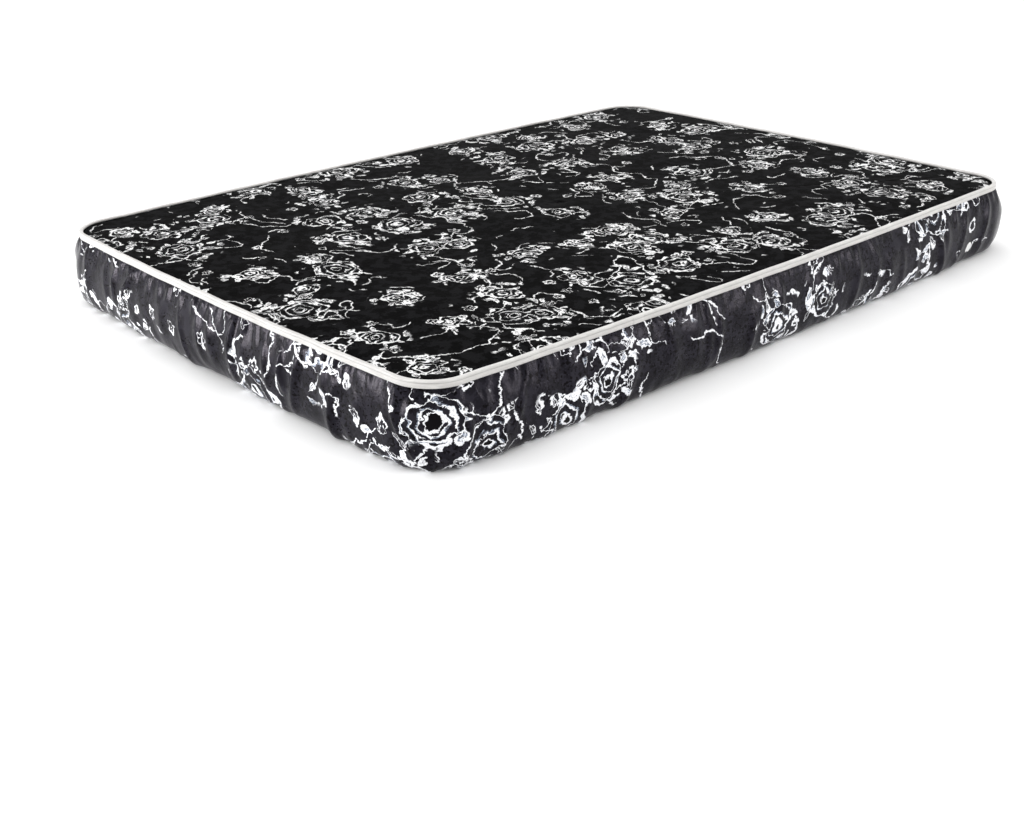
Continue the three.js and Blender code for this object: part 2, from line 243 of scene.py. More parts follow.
def add_piece(name, points, faces, body="mattress"):
    mesh = bpy.data.meshes.new(name)
    mesh.from_pydata(np.asarray(points).reshape(-1, 3).tolist(), [], [list(map(int, f)) for f in faces])
    mesh.validate()
    mesh.update()
    mesh.shade_smooth()
    piece = bpy.data.objects.new(name, mesh)
    bpy.context.scene.collection.objects.link(piece)
    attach(piece, body)
    return piece


def ripple(x, y, wavelength, height, seed, waves=24):
    """Gentle random unevenness, as the sum of waves in all directions."""
    rng = np.random.default_rng(seed)
    total = 0
    for angle, phase, stretch in rng.uniform((0, 0, 0.7), (math.pi, 2 * math.pi, 1.5), (waves, 3)):
        across = x * math.cos(angle) + y * math.sin(angle)
        total = total + np.sin(2 * math.pi * across / (wavelength * stretch) + phase)
    return height * total / math.sqrt(waves / 2)


def eased(rows, radius):
    """A section with its upper and lower edges rounded over."""
    arc = np.linspace(0, math.pi / 2, 6)
    upper = [(rows[0][0] + radius * (math.sin(a) - 1), rows[0][1] + radius * (math.cos(a) - 1), rows[0][2])
             for a in arc]
    lower = [(rows[-1][0] + radius * (math.cos(a) - 1), rows[-1][1] + radius * (1 - math.sin(a)), rows[-1][2])
             for a in arc]
    middle = [row for row in rows if rows[-1][1] + radius < row[1] < rows[0][1] - radius]
    return np.array([*upper, *middle, *lower])


def slab(name, section, unevenness, seed):
    """A piece with the mattress's outline, a section down its side and slightly uneven faces."""
    side, _ = carried(stations(even(0, ROUND, 0.012)[:-1]), section)
    top, bottom = section[0][1], section[-1][1]
    shares = np.concatenate([np.linspace(0, 0.9, 12), np.linspace(0.9, 1, 9)[1:]])
    upper = side[:, :1] * shares[None, 1:-1, None] * (1, 1, 0) + (0, 0, top)
    lower = side[:, -1:] * shares[None, -2:0:-1, None] * (1, 1, 0) + (0, 0, bottom)
    grid = np.concatenate([upper, side, lower], 1)
    lift = ripple(grid[:, :, 0], grid[:, :, 1], 0.16, unevenness, seed)
    share_up = (grid[:, :, 2] - bottom) / (top - bottom) * 2 - 1
    grid[:, :, 2] += lift * share_up - unevenness * 3 * share_up
    points = np.concatenate([grid.reshape(-1, 3), [(0, 0, top), (0, 0, bottom)]])
    count, columns = grid.shape[:2]
    faces = quads(count, columns, closed=True).tolist()
    step = np.arange(count)
    hub = np.full(count, count * columns)
    faces += np.stack([hub, step * columns, (step + 1) % count * columns], 1).tolist()
    below = step * columns + columns - 1
    faces += np.stack([hub + 1, (below + columns) % (count * columns), below], 1).tolist()
    return add_piece(name, points, faces)


class Field:
    """A quantity that varies over a finish. Sums and products of fields add the maths nodes."""

    def __init__(self, tree, socket):
        self.tree = tree
        self.socket = socket

    def maths(self, operation, *others):
        node = self.tree.nodes.new("ShaderNodeMath")
        node.operation = operation
        for place, value in enumerate((self, *others)):
            if isinstance(value, Field):
                self.tree.links.new(value.socket, node.inputs[place])
            else:
                node.inputs[place].default_value = value
        return Field(self.tree, node.outputs[0])

    def __add__(self, other):
        return self.maths("ADD", other)

    def __sub__(self, other):
        return self.maths("SUBTRACT", other)

    def __mul__(self, other):
        return self.maths("MULTIPLY", other)

    def __truediv__(self, other):
        return self.maths("DIVIDE", other)

    def __rsub__(self, other):
        return self.maths("MULTIPLY_ADD", -1, other)

    def __abs__(self):
        return self.maths("ABSOLUTE")

    __radd__ = __add__
    __rmul__ = __mul__

    def sin(self):
        return self.maths("SINE")

    def floor(self):
        return self.maths("FLOOR")

    def fract(self):
        return self.maths("FRACT")

    def power(self, exponent):
        return self.maths("POWER", exponent)

    def most(self, other):
        return self.maths("MAXIMUM", other)

    def ramp(self, low, high, start=0.0, end=1.0):
        """Rises smoothly from start to end as the field goes from low to high."""
        node = self.tree.nodes.new("ShaderNodeMapRange")
        node.interpolation_type = "SMOOTHSTEP"
        self.tree.links.new(self.socket, node.inputs["Value"])
        for name, value in (("From Min", low), ("From Max", high), ("To Min", start), ("To Max", end)):
            if isinstance(value, Field):
                self.tree.links.new(value.socket, node.inputs[name])
            else:
                node.inputs[name].default_value = value
        return Field(self.tree, node.outputs["Result"])


def position(tree):
    """Object coordinates in metres, as three fields."""
    place = tree.nodes.new("ShaderNodeTexCoord").outputs["Object"]
    split = tree.nodes.new("ShaderNodeSeparateXYZ")
    tree.links.new(place, split.inputs[0])
    return [Field(tree, socket) for socket in split.outputs]


def printed_place(tree):
    """Place on the cloth before it was sewn, in metres, as two fields."""
    uv = tree.nodes.new("ShaderNodeUVMap")
    uv.uv_map = "cloth"
    split = tree.nodes.new("ShaderNodeSeparateXYZ")
    tree.links.new(uv.outputs["UV"], split.inputs[0])
    return [Field(tree, split.outputs["X"]), Field(tree, split.outputs["Y"])]


def vector(x, y, z=0.0):
    tree = x.tree
    node = tree.nodes.new("ShaderNodeCombineXYZ")
    for place, value in enumerate((x, y, z)):
        if isinstance(value, Field):
            tree.links.new(value.socket, node.inputs[place])
        else:
            node.inputs[place].default_value = value
    return node.outputs[0]


def noise(place, scale, detail=2.0, roughness=0.5):
    """Soft noise with this many lumps to the metre; place is two or three fields."""
    tree = place[0].tree
    node = tree.nodes.new("ShaderNodeTexNoise")
    node.noise_dimensions = "2D" if len(place) == 2 else "3D"
    node.inputs["Scale"].default_value = scale
    node.inputs["Detail"].default_value = detail
    node.inputs["Roughness"].default_value = roughness
    tree.links.new(vector(*place), node.inputs["Vector"])
    return node


def lumps(place, scale, detail=2.0, roughness=0.5):
    return Field(place[0].tree, noise(place, scale, detail, roughness).outputs["Fac"])


def mixed(amount, dark, light):
    """A colour between two, each a colour or a colour socket."""
    tree = amount.tree
    node = tree.nodes.new("ShaderNodeMix")
    node.data_type = "RGBA"
    tree.links.new(amount.socket, node.inputs["Factor"])
    for socket, value in ((node.inputs[6], dark), (node.inputs[7], light)):
        if isinstance(value, bpy.types.NodeSocket):
            tree.links.new(value, socket)
        else:
            socket.default_value = (*value, 1)
    return node.outputs[2]


def finish_of(name, **settings):
    """A new material with its shader's own settings, its node tree and that shader."""
    material = bpy.data.materials.new(name)
    material.use_nodes = True
    tree = material.node_tree
    shader = tree.nodes["Principled BSDF"]
    for socket, value in settings.items():
        shader.inputs[socket.replace("_", " ")].default_value = value
    return material, tree, shader


def raised(shader, height, distance, strength=1.0, under=None):
    """Surface relief on a shader from a height field, in metres."""
    tree = height.tree
    bump = tree.nodes.new("ShaderNodeBump")
    bump.inputs["Distance"].default_value = distance
    bump.inputs["Strength"].default_value = strength
    tree.links.new(height.socket, bump.inputs["Height"])
    if under is not None:
        tree.links.new(under.outputs["Normal"], bump.inputs["Normal"])
    tree.links.new(bump.outputs["Normal"], shader.inputs["Normal"])
    return bump


foam_finish, tree, shader = finish_of("pale_foam", Roughness=0.95, Specular_IOR_Level=0.2)
place = position(tree)
pores = tree.nodes.new("ShaderNodeTexVoronoi")
pores.inputs["Scale"].default_value = 900
tree.links.new(vector(*place), pores.inputs["Vector"])
cell = Field(tree, pores.outputs["Distance"])
foam_colour = mixed(cell.ramp(0.1, 0.6), (0.62, 0.53, 0.36), (0.86, 0.78, 0.60))
tree.links.new(foam_colour, shader.inputs["Base Color"])
raised(shader, cell, 0.0004)

core_inset = belly + half_x + BOW + core_low.x
core_section = eased(side_rows(core_inset, core_high.z, core_low.z), 0.008)
core = slab("core_block", core_section, 0.0004, seed=3)
core.data.materials.append(foam_finish)
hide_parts("foam_core")


# ---- Wadding ----
# Polyester fibre wrap between the foam and the cover: a layer above, a layer below and a
# band round the sides that gives the soft belly. It is laid on, not sewn to the foam.

WADDING_STEP = 0.012

fibre_finish, tree, shader = finish_of("white_fibre", Roughness=1.0, Specular_IOR_Level=0.1)
shader.inputs["Sheen Weight"].default_value = 0.4
place = position(tree)
strands = lumps([place[0] * 3, place[1], place[2] * 2], 260, 4, 0.7)
clumps = lumps(place, 30, 3)
fluff = strands * 0.6 + clumps * 0.4
fibre_colour = mixed(fluff.ramp(0.3, 0.7), (0.70, 0.70, 0.68), (0.93, 0.93, 0.92))
tree.links.new(fibre_colour, shader.inputs["Base Color"])
raised(shader, fluff, 0.004)


def add_cloth(name, places, normals, thickness, cut, body="mattress"):
    """A sheet of one thickness with its face at the given grid of places, closed round its
    edges. cut gives each point's place on the flat cloth."""
    count, columns = places.shape[:2]
    total = count * columns
    points = np.concatenate([places.reshape(-1, 3), (places - normals * thickness).reshape(-1, 3)])
    face = quads(count, columns)
    number = np.arange(total).reshape(count, columns)
    rims = []
    for rim in (number[:, 0], number[::-1, -1], number[0, ::-1], number[-1, :]):
        rims.append(np.stack([rim[:-1], rim[1:], rim[1:] + total, rim[:-1] + total], 1))
    faces = np.concatenate([face, face[:, ::-1] + total, *rims])
    piece = add_piece(name, points, faces, body)
    flat = np.concatenate([cut.reshape(-1, 2)] * 2)
    corners = np.zeros(len(piece.data.loops), np.int64)
    piece.data.loops.foreach_get("vertex_index", corners)
    layer = piece.data.uv_layers.new(name="cloth")
    layer.data.foreach_set("uv", flat[corners].astype(np.float32).ravel())
    return piece


batt_low, batt_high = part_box("wadding_top")
batt_reach = -batt_low.x - BOW - half_x
upper_batt = slab("upper_batt", eased([(batt_reach, batt_high.z, 0), (batt_reach, batt_low.z, 0)], 0.0045),
                  0.0004, seed=5)
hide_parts("wadding_top")

batt_low, batt_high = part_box("wadding_bottom")
batt_reach = -batt_low.x - BOW - half_x
lower_batt = slab("lower_batt", eased([(batt_reach, batt_high.z, 1), (batt_reach, batt_low.z, 1)], 0.0045),
                  0.0004, seed=6)
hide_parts("wadding_bottom")

side_low, side_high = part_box("wadding_side")
zip_low, zip_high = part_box("zip_tape_lower")
zip_behind = widest_x - zip_low.x
wrap_inset = belly + half_x + BOW + side_low.x + 0.002
wrap_depth = core_inset - wrap_inset - 0.001
wrap_section, wrap_v = profile(side_rows(wrap_inset, side_high.z, side_low.z + 0.002), WADDING_STEP / 2)
wrap_s = np.unique(np.concatenate([even(0, ROUND, WADDING_STEP), END_SEAM + np.linspace(-0.03, 0.03, 13)]))
wrap, wrap_normals = carried(stations(wrap_s), wrap_section)
past_seam = np.minimum((wrap_s + 0.1) % ROUND - 0.1, END_SEAM - wrap_s) + 0.045
on_zipped_end = past_seam.clip(0, 0.015)[:, None] / 0.015
groove = on_zipped_end * np.exp(-((wrap_section[None, :, 1] - BELLY_HEIGHT) / 0.017) ** 8)
from_seam = np.minimum(np.abs(wrap_s - END_SEAM), np.minimum(wrap_s, ROUND - wrap_s))[:, None]
hollow = np.maximum(groove * (zip_behind + 0.001 - wrap_inset), 0.014 * np.exp(-(from_seam / 0.014) ** 4))
wrap = wrap - wrap_normals * hollow[:, :, None]
wrap_cut = np.stack(np.broadcast_arrays(wrap_s[:, None], wrap_v[None, :]), 2)
wrap_thickness = (wrap_depth - hollow).clip(0.001)[:, :, None]
side_batt = add_cloth("side_batt", wrap, wrap_normals, wrap_thickness, wrap_cut)
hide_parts("wadding_side")

for batt in (upper_batt, lower_batt, side_batt):
    batt.data.materials.append(fibre_finish)


# ---- Zip tapes and coils ----
# Two woven polyester tapes with a nylon coil sewn along the facing edges. They are stitched
# behind the two hems across one short end, and the coils mesh along the middle of the belly.

COIL_PITCH = 0.0015
COIL_WIRE = 0.00034

zip_cloth, tree, shader = finish_of("black_zip_tape", Roughness=0.75, Specular_IOR_Level=0.3)
place = position(tree)
herringbone = (place[1] * 5200 + abs((place[2] * 2600).sin()) * 1.5).sin()
tape_colour = mixed(herringbone.ramp(-1, 1), (0.010, 0.010, 0.012), (0.030, 0.030, 0.034))
tree.links.new(tape_colour, shader.inputs["Base Color"])
raised(shader, herringbone, 0.0001)

nylon, tree, shader = finish_of("black_nylon", Roughness=0.32, Coat_Weight=0.1)
worn = lumps(position(tree), 700, 3)
nylon_colour = mixed(worn.ramp(0.3, 0.75), (0.008, 0.008, 0.009), (0.035, 0.034, 0.036))
tree.links.new(nylon_colour, shader.inputs["Base Color"])

for node in ("zip_tape_upper", "zip_tape_lower"):
    low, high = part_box(node)
    along = even(low.y, high.y, 0.006)
    down = even(high.z, low.z, 0.0012)
    y, z = np.meshgrid(along, down, indexing="ij")
    sway = 0.00015 * np.sin(y * 160) * np.sin((z - low.z) / (high.z - low.z) * math.pi)
    face = np.stack([high.x - 0.0002 + sway, y, z], 2)
    tape = add_cloth(node.replace("zip", "woven_zip"), face, face_normals(face), high.x - low.x - 0.0004,
                     np.stack([y, z], 2))
    tape.data.materials.append(zip_cloth)
    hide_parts(node)

for node, turn in (("zip_coil_upper", 1), ("zip_coil_lower", -1)):
    low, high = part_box(node)
    turns = (high.y - low.y - 2 * COIL_WIRE) / COIL_PITCH
    angle = np.linspace(0, 2 * math.pi * turns, round(turns * 8) + 1)
    depth = (high.x - low.x) / 2 - COIL_WIRE
    height = (high.z - low.z) / 2 - COIL_WIRE
    y = low.y + COIL_WIRE + COIL_PITCH * angle / (2 * math.pi)
    wire = np.stack([(low.x + high.x) / 2 + depth * np.cos(angle),
                     y, (low.z + high.z) / 2 + turn * height * np.sin(angle)], 1)
    run = np.gradient(wire, axis=0)
    run /= np.linalg.norm(run, axis=1)[:, None]
    out = np.stack([np.cos(angle), 0 * angle, turn * np.sin(angle)], 1)
    other = np.cross(run, out)
    around = np.linspace(0, 2 * math.pi, 6)[:-1]
    tube = (wire[:, None] + COIL_WIRE * (np.cos(around)[None, :, None] * out[:, None]
                                         + np.sin(around)[None, :, None] * other[:, None]))
    count = len(wire)
    faces = [(i * 5 + j, i * 5 + (j + 1) % 5, (i + 1) * 5 + (j + 1) % 5, (i + 1) * 5 + j)
             for i in range(count - 1) for j in range(5)]
    faces += [(4, 3, 2, 1, 0), tuple(range(count * 5 - 5, count * 5))]
    coil = add_piece(node.replace("zip", "nylon_zip"), tube, faces)
    coil.data.materials.append(nylon)
    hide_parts(node)


# ---- Zip stops, slider and puller ----
# Small die-cast pieces with a dark electroplated finish, rubbed brighter in patches. The
# # stops are pressed on the ends of the coils; the puller swings on the slider's pin.

dark_metal, tree, shader = finish_of("dark_zip_metal", Metallic=1.0)
place = position(tree)
rubbed = lumps(place, 400, 4, 0.6)
metal_colour = mixed(rubbed.ramp(0.35, 0.75), (0.07, 0.07, 0.075), (0.14, 0.14, 0.15))
tree.links.new(metal_colour, shader.inputs["Base Color"])
tree.links.new(rubbed.ramp(0.3, 0.7, 0.24, 0.42).socket, shader.inputs["Roughness"])
raised(shader, lumps(place, 2500, 2), 0.00005)
for node in ("zip_stop_closed", "zip_stop_open", "zip_slider", "zip_puller"):
    casting = bpy.data.objects[node]
    casting.data.materials.clear()
    casting.data.materials.append(dark_metal)


# ---- Underside ----
# Plain black woven polyester, cut to the outline and seamed to the turned-in border. The
# mattress rests on it, so it lies flat except for slight fullness near the seam.

UNDERSIDE_CLOTH = 0.0012

plain_cloth, tree, shader = finish_of("plain_black_weave", Roughness=0.85, Specular_IOR_Level=0.25)
shader.inputs["Sheen Weight"].default_value = 0.15
x, y = printed_place(tree)
warp = (x * 3400).sin()
weft = (y * 3400).sin()
weave = warp * weft
faded = lumps([x, y], 6, 3)
tree.links.new(mixed(weave.ramp(-1, 1) * 0.6 + faded * 0.4, (0.006, 0.006, 0.007), (0.022, 0.022, 0.025)),
               shader.inputs["Base Color"])
raised(shader, weave, 0.00015)


def rings_inward(rows, reach, share, shares):
    """Places of rings that follow the outline, drawn in towards the middle."""
    rim = np.stack([rows[:, 0] + rows[:, 2] * (reach + share * rows[:, 4]),
                    rows[:, 1] + rows[:, 3] * (reach + share * rows[:, 4])], 1)
    return rim[:, None, :] * shares[None, :, None]


under_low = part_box("bottom_panel")[0]
rows = stations(even(0, ROUND, 0.012))
shares = np.concatenate([np.linspace(1, 0.93, 14), np.linspace(0.93, 0.002, 22)[1:]])
flat = rings_inward(rows, -under_low.x - BOW - half_x, 1, shares)
inward = (1 - shares) * half_y
fullness = 0.0007 * (1 + ripple(flat[:, :, 0], flat[:, :, 1], 0.05, 0.5, seed=9)) * np.exp(-inward / 0.05)
z = 0.0001 + fullness.clip(0, 0.0025)
lower_face = np.concatenate([flat, z[:, :, None]], 2)
underside = add_cloth("underside_cloth", lower_face, face_normals(lower_face), UNDERSIDE_CLOTH, flat)
underside.data.materials.append(plain_cloth)
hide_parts("bottom_panel")


# ---- Border ----
# Printed satin cut a little longer than the sides it covers, so that it gathers into puckers
# under the tape and soft folds down the belly, and turns in below to its seam with the
# underside. It is one strip round three sides; the zipped end has two, hemmed at the zip.

BORDER_CLOTH = 0.0012
BORDER_STEP = 0.0056
SEAM_TUCK = 0.0045  # the two vertical seams are drawn in
LINE = 0.0011  # half the width of a drawn line in the print
FLOWER_CELL = 0.165
LEAF_CELL = 0.027
BLOSSOM_CELL = 0.070
CENTREPIECE_SIZE = 0.0392


def motif(x, y, cell, shift, randomness=0.75):
    """Scatters motifs: each point's distance and angle from the middle of its own motif, its
    offsets from it, and three chances that belong to that motif."""
    tree = x.tree
    cells = tree.nodes.new("ShaderNodeTexVoronoi")
    cells.voronoi_dimensions = "2D"
    cells.inputs["Scale"].default_value = 1 / cell
    cells.inputs["Randomness"].default_value = randomness
    along = x + shift
    across = y + shift * 0.7
    tree.links.new(vector(along, across), cells.inputs["Vector"])
    middle = tree.nodes.new("ShaderNodeSeparateXYZ")
    tree.links.new(cells.outputs["Position"], middle.inputs[0])
    chance = tree.nodes.new("ShaderNodeSeparateColor")
    tree.links.new(cells.outputs["Color"], chance.inputs[0])
    dx = along - Field(tree, middle.outputs["X"])
    dy = across - Field(tree, middle.outputs["Y"])
    away = (dx * dx + dy * dy).power(0.5)
    chances = [Field(tree, socket) for socket in chance.outputs[:3]]
    angle = dy.maths("ARCTAN2", dx) + chances[0] * 6.283
    return away, angle, dx, dy, chances


def drawn(gap, width):
    """A drawn line along gap = 0."""
    return abs(gap).ramp(width * 0.75, width * 1.25, 1, 0)


def flower(away, angle, size, pen, drift, blot, eye_share=0.21, ring_share=0.43):
    """Broken rings of scalloped petals round a dark eye, the petals partly brushed in."""
    step = size * ring_share
    petal = abs((angle * 2.5 + (away / step).floor() * 2.1).sin()) * (away / size).ramp(0.1, 0.75, 0.1, 1)
    phase = (away / step + petal * 0.40 + (drift - 0.5) * 1.8).fract()
    lines = (abs(phase - 0.5) * step).ramp(pen * 0.8, pen * 1.2, 1, 0)
    brushed = phase.ramp(0.50, 0.52) * phase.ramp(0.74, 0.80, 1, 0) * blot
    edge = size * (0.86 + petal * 0.12) + (drift - 0.5) * 0.05
    rim = drawn(away - edge, pen)
    inside = (away - edge).ramp(-0.0003, 0.0003, 1, 0)
    eye = size * eye_share
    outside_eye = (away - eye).ramp(-0.0003, 0.0003)
    lines = (lines * inside * outside_eye).most(rim).most(drawn(away - eye, pen * 1.2))
    return lines, brushed * inside * outside_eye, inside, 1 - outside_eye


def leaf(dx, dy, chance, pen):
    """One pointed leaf with a vein, at an angle of its own; some are brushed in."""
    spin = chance[0] * 6.283
    c = spin.maths("COSINE")
    s = spin.sin()
    along = (dx * c + dy * s) / (chance[1] * 0.006 + 0.0095)
    off = dy * c - dx * s
    gap = abs(off) - (1 - along * along) * 0.0047
    inside = gap.ramp(-0.0002, 0.0002, 1, 0)
    lines = drawn(gap, pen).most(drawn(off, pen * 0.6) * inside * 0.8)
    return lines, inside * chance[2].maths("GREATER_THAN", 0.6)


def meander(u, v, scale, level):
    """Distance from a wandering line, as the contour of soft noise at one level."""
    here = lumps([u, v], scale, 1)
    right = lumps([u + 0.002, v], scale, 1) - here
    up = lumps([u, v + 0.002], scale, 1) - here
    slope = (right * right + up * up).power(0.5) * 500
    return (here - level) / (slope + 0.4)


def floral_print(x, y, bold, centrepiece=None):
    """The white pen drawing on the cloth: its lines, brushed grey petals and dark eyes. A bold
    print has a broader pen, and a centrepiece is the middle of one large rose."""
    wobble = noise([x, y], 30, 2, 0.6)
    jag = noise([x, y], 170, 2, 0.6)
    soft = []
    for node in (wobble, jag):
        parts = x.tree.nodes.new("ShaderNodeSeparateColor")
        x.tree.links.new(node.outputs["Color"], parts.inputs[0])
        soft.append([Field(x.tree, socket) for socket in parts.outputs[:3]])
    u = x + (soft[0][0] - 0.5) * 0.022 + (soft[1][0] - 0.5) * 0.0062
    v = y + (soft[0][1] - 0.5) * 0.022 + (soft[1][1] - 0.5) * 0.0062
    blot = soft[0][2]
    press = blot.ramp(0.38, 0.66, 0.45, 2.1 * bold) * (soft[1][2] * 1.6 + 0.2) * LINE

    away, angle, dx, dy, chance = motif(u, v, FLOWER_CELL, 3.0)
    size = chance[1] * 0.026 + 0.027
    shown = chance[2].maths("LESS_THAN", 0.82)
    lines, brush, inside, hole = flower(away, angle, size, press, lumps([x, y], 22, 1), blot.ramp(0.42, 0.50))
    lines = lines * shown
    brush = brush * shown
    inside = inside * shown
    hole = hole * shown
    beside = (away / size).ramp(1.75, 1.95, 1, 0) * shown
    grown = lumps([x, y], 13, 1).ramp(0.47, 0.50)

    away, angle, dx, dy, chance = motif(u, v, LEAF_CELL, 7.3, 0.8)
    leaf_lines, leaf_brush = leaf(dx, dy, chance, press)
    there = beside * grown * (1 - inside)
    lines = lines.most(leaf_lines * there)
    brush = brush.most(leaf_brush * there)

    for scale, level in ((7.0, 0.50), (11.0, 0.44)):
        stem = drawn(meander(u, v, scale, level), press * 0.7 + 0.0002)
        part = lumps([x, y], scale * 0.9, 1).ramp(0.54, 0.56)
        broken = soft[1][1].ramp(0.36, 0.42)
        lines = lines.most(stem * part * broken * (1 - inside))

    away, angle, dx, dy, chance = motif(u, v, BLOSSOM_CELL, 5.1, 0.9)
    petals = abs((angle * 2.5).sin()) * 0.006 + 0.006
    little = drawn(away - petals, press).most(away.ramp(0.0014, 0.0020, 1, 0))
    rare = chance[1].maths("LESS_THAN", 0.25)
    lines = lines.most(little * rare * (1 - inside))

    if centrepiece:
        dx = u - centrepiece[0]
        dy = v - centrepiece[1]
        away = (dx * dx + dy * dy).power(0.5)
        turn = dy.maths("ARCTAN2", dx)
        drift = lumps([x, y], 22, 1) * 0.5 + 0.25
        rose = flower(away, turn, CENTREPIECE_SIZE, press, drift, blot.ramp(0.25, 0.35), 0.34, 0.34)
        rose_lines, rose_brush, inside, eye = rose
        lines = (lines * (1 - inside)).most(rose_lines)
        brush = (brush * (1 - inside)).most(rose_brush)
        hole = (hole * (1 - inside)).most(eye)

    worn = lumps([x, y], 500, 1).ramp(0.36, 0.54)
    streak = (lumps([x * 0.5, y], 420, 2) + soft[1][1] * 0.4).ramp(0.55, 0.80)
    return lines * (worn * 0.3 + 0.7), brush * streak, hole


def printed_satin(name, layout, bold, centrepiece, ground, ground_light, line_colour, brush_colour, speckle,
                  **settings):
    """Black satin printed with a white line drawing. Its ground is mottled, and faintly
    speckled where speckle is more than nothing. The ground, line and brush colours are given
    per panel: lighter and more violet on the border as painted light, darker and greyer on
    the top as painted shade."""
    finish, tree, shader = finish_of(name, **settings)
    x, y = printed_place(tree)
    shift, scale = layout
    lines, brush, hole = floral_print(x * scale + shift, y * scale, bold, centrepiece)
    mottle = (lumps([x, y], 34, 3, 0.6) + lumps([x, y], 260, 1) * 0.25).ramp(0.62, 0.66)
    colour = mixed(mottle, ground, ground_light)
    if speckle:
        specks = lumps([x, y], 130, 2, 0.6).ramp(0.41, 0.44, 1, 0)
        patch = lumps([x, y], 12, 2).ramp(0.40, 0.46)
        colour = mixed((specks * patch).most(hole) * speckle, colour, (0.0006, 0.0006, 0.0006))
    colour = mixed(brush * 0.75, colour, brush_colour)
    colour = mixed(lines, colour, line_colour)
    tree.links.new(colour, shader.inputs["Base Color"])
    ribs = (y * 9000).sin() * 0.5 + (x * 5200).sin() * 0.5
    crush = lumps([x, y], 90, 3, 0.6)
    raised(shader, ribs * 0.03 + crush, 0.0009, 0.5)
    return finish


FRONT_CORNER = line_length[299 + 340 * 2 + 20]  # between the plain short end and a long side
PRINT_SHIFT = 0.9
PRINT_SCALE = 0.80  # the border's motifs are drawn larger than the top's by the inverse of this
# Painted light: the border's ground, mottle and brushed petals are given lighter and more violet than the
# top's, for the same satin lit on its sides.
lit_border_satin = printed_satin(
    "lit_border_satin", (PRINT_SHIFT, PRINT_SCALE), 1.25,
    ((FRONT_CORNER + 0.008) * PRINT_SCALE + PRINT_SHIFT, 0.068 * PRINT_SCALE),
    (0.0080, 0.0076, 0.0104), (0.0150, 0.0142, 0.0192), (0.88, 0.89, 0.92), (0.40, 0.45, 0.54), 1.0,
    Roughness=0.22, Specular_IOR_Level=0.075, Specular_Tint=(0.90, 0.80, 0.95, 1),
    Sheen_Weight=0.02, Sheen_Roughness=0.4,
    Sheen_Tint=(0.86, 0.78, 0.95, 1))

LEFT_END = (END_SEAM + ROUND) / 2  # the middle of the plain short end

def liveliness(s):
    """How strongly the border is gathered at a place round it: most on the plain short end
    and at the corners, least along the long sides."""
    end = np.exp(-((s - LEFT_END) / 0.55) ** 4)
    corners = sum(np.exp(-((s - at) / 0.16) ** 2) for at in line_length[[319, 659, 999, 1339]])
    return 0.62 + 0.38 * end + 0.35 * corners


def fold_set(seed):
    """Every fold of the border: place, top, length, lean, half width and height."""
    rng = np.random.default_rng(seed)
    folds = []
    at = 0.0
    while at < ROUND:  # short puckers that start at the tape's stitching
        at += rng.uniform(0.010, 0.036)
        length = rng.uniform(0.028, 0.075)
        folds.append((at, -0.004, length, rng.normal(0, 0.16), rng.uniform(0.0035, 0.0085),
                      rng.uniform(0.4, 1.6) * 0.0052, 0))
    at = 0.0
    while at < ROUND:  # soft folds down the belly
        at += rng.uniform(0.030, 0.105)
        folds.append((at, rng.uniform(-0.01, 0.06), rng.uniform(0.09, 0.19), rng.normal(0, 0.22),
                      rng.uniform(0.007, 0.018), rng.uniform(0.3, 1.6) * 0.0064, 1))
    at = 0.0
    while at < ROUND:  # gathers where the border turns under
        at += rng.uniform(0.018, 0.060)
        folds.append((at, rng.uniform(0.11, 0.16), rng.uniform(0.07, 0.12), rng.normal(0, 0.2),
                      rng.uniform(0.006, 0.013), rng.uniform(0.4, 1.5) * 0.0020, 2))
    return folds


def fold_height(s, v, folds):
    """How far the border stands out from its plain shape, on a grid of lengths s round it
    and v down it."""
    height = np.zeros((len(s), len(v)))
    for at, top, length, lean, width, rise, kind in folds:
        apart = (s - at + ROUND / 2) % ROUND - ROUND / 2
        near = np.abs(apart) < width * 4 + abs(lean) * length
        if not near.any():
            continue
        down = (v - top) / length
        swell = np.sin(math.pi * down.clip(0, 1) ** (0.55 if kind == 0 else 0.85))
        across = (apart[near, None] - lean * (v - top)[None, :]) / (width * (0.7 + 0.6 * down.clip(0, 1)))
        lively = liveliness(np.array([at]))[0]
        height[near] += rise * lively * swell[None, :] * np.exp(-np.abs(across) ** 1.7)
    s_grid, v_grid = np.meshgrid(s, v, indexing="ij")
    broad = ripple(s_grid, v_grid, 0.22, 0.0016, seed=31)
    broad = broad + ripple(s_grid, v_grid * 0.5, 0.07, 0.0006, seed=32)
    return height + broad * (1 - np.exp(-v / 0.02))[None, :]


border_folds = fold_set(17)
wall_top = border_high.z
wall_bottom = border_low.z


def border_piece(name, s, rows, v_start, turned=0, hem=None):
    """One length of the border. turned is how deep the cloth at each length s is turned in
    behind the seam, and hem is the height of an edge that is held flat."""
    section, v = profile(rows, BORDER_STEP)
    v = v + v_start
    places, normals = carried(stations(s), section)
    to_seam = np.minimum(np.abs(s - END_SEAM), np.minimum(s, abs(ROUND - s)))[:, None]
    rise = fold_height(s, v, border_folds) * (1 - np.exp(-to_seam / 0.012))
    if hem is not None:
        rise = rise * (1 - np.exp(-((section[:, 1] - hem) / 0.010) ** 2))
    rise = rise - 0.0016 * np.exp(-to_seam / 0.010) - SEAM_TUCK * np.exp(-(to_seam / 0.0022) ** 2)
    rise = rise * (1 - np.exp(-(v / 0.007) ** 2)) - np.reshape(turned, (-1, 1))
    places = places + normals * rise[:, :, None]
    places[:, :, 2] = places[:, :, 2].clip(0.0002)
    cut = np.stack(np.broadcast_arrays(s[:, None], v[None, :]), 2)
    piece = add_cloth(name, places, face_normals(places), BORDER_CLOTH, cut)
    piece.data.materials.append(lit_border_satin)
    return piece, v[-1]


